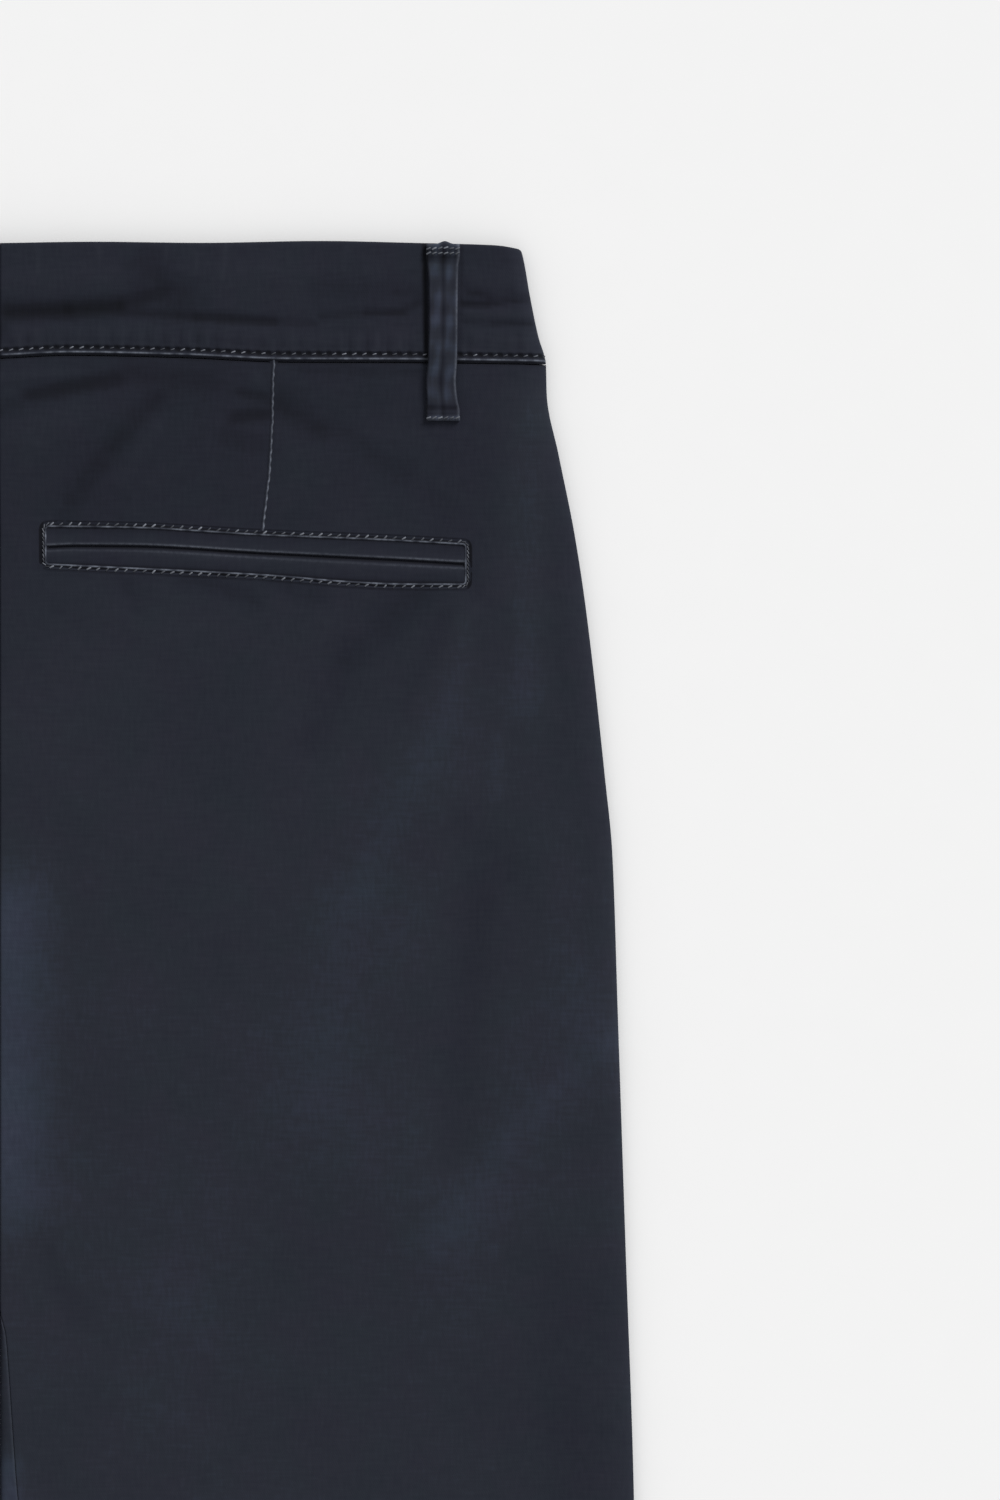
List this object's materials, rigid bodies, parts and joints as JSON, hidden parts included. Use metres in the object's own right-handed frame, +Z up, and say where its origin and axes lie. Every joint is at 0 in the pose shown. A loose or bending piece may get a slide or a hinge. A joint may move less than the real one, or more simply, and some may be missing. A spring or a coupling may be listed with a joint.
{
  "type": "chino trousers",
  "caption": "Navy cotton chino trousers laid flat on their front, with a double-welt back pocket on each side, belt loops and slanted front pockets.",
  "frame": {"origin": "middle of the garment's length and width, on the surface that the trousers lie on", "axes": "+X to the wearer's right, +Y along the legs to the waist, +Z up from the surface, through the front and then the back"},
  "size_m": [0.449, 1.04, 0.0095],
  "materials": {
    "cloth": "garment-dyed navy stretch cotton twill, matt with a faint sheen",
    "waistband": "the same twill, doubled, with a worn lighter seam edge",
    "trim_cloth": "the same twill, folded, with worn lighter edges",
    "thread": "navy spun polyester sewing thread",
    "button": "dark navy polyester resin, satin"
  },
  "bodies": {
    "root": {"back_right": "cloth", "back_left": "cloth", "front_right": "cloth", "front_left": "cloth", "front_pocket_facing_right": "cloth", "front_pocket_facing_left": "cloth", "waistband_right": "waistband", "waistband_left": "waistband", "back_pocket_upper_lip_right": "trim_cloth", "back_pocket_upper_lip_left": "trim_cloth", "back_pocket_lower_lip_right": "trim_cloth", "back_pocket_lower_lip_left": "trim_cloth", "belt_loop_back_right": "trim_cloth", "belt_loop_back_left": "trim_cloth", "belt_loop_front_right": "trim_cloth", "belt_loop_front_left": "trim_cloth", "waist_button": "button"}
  },
  "joints": []
}
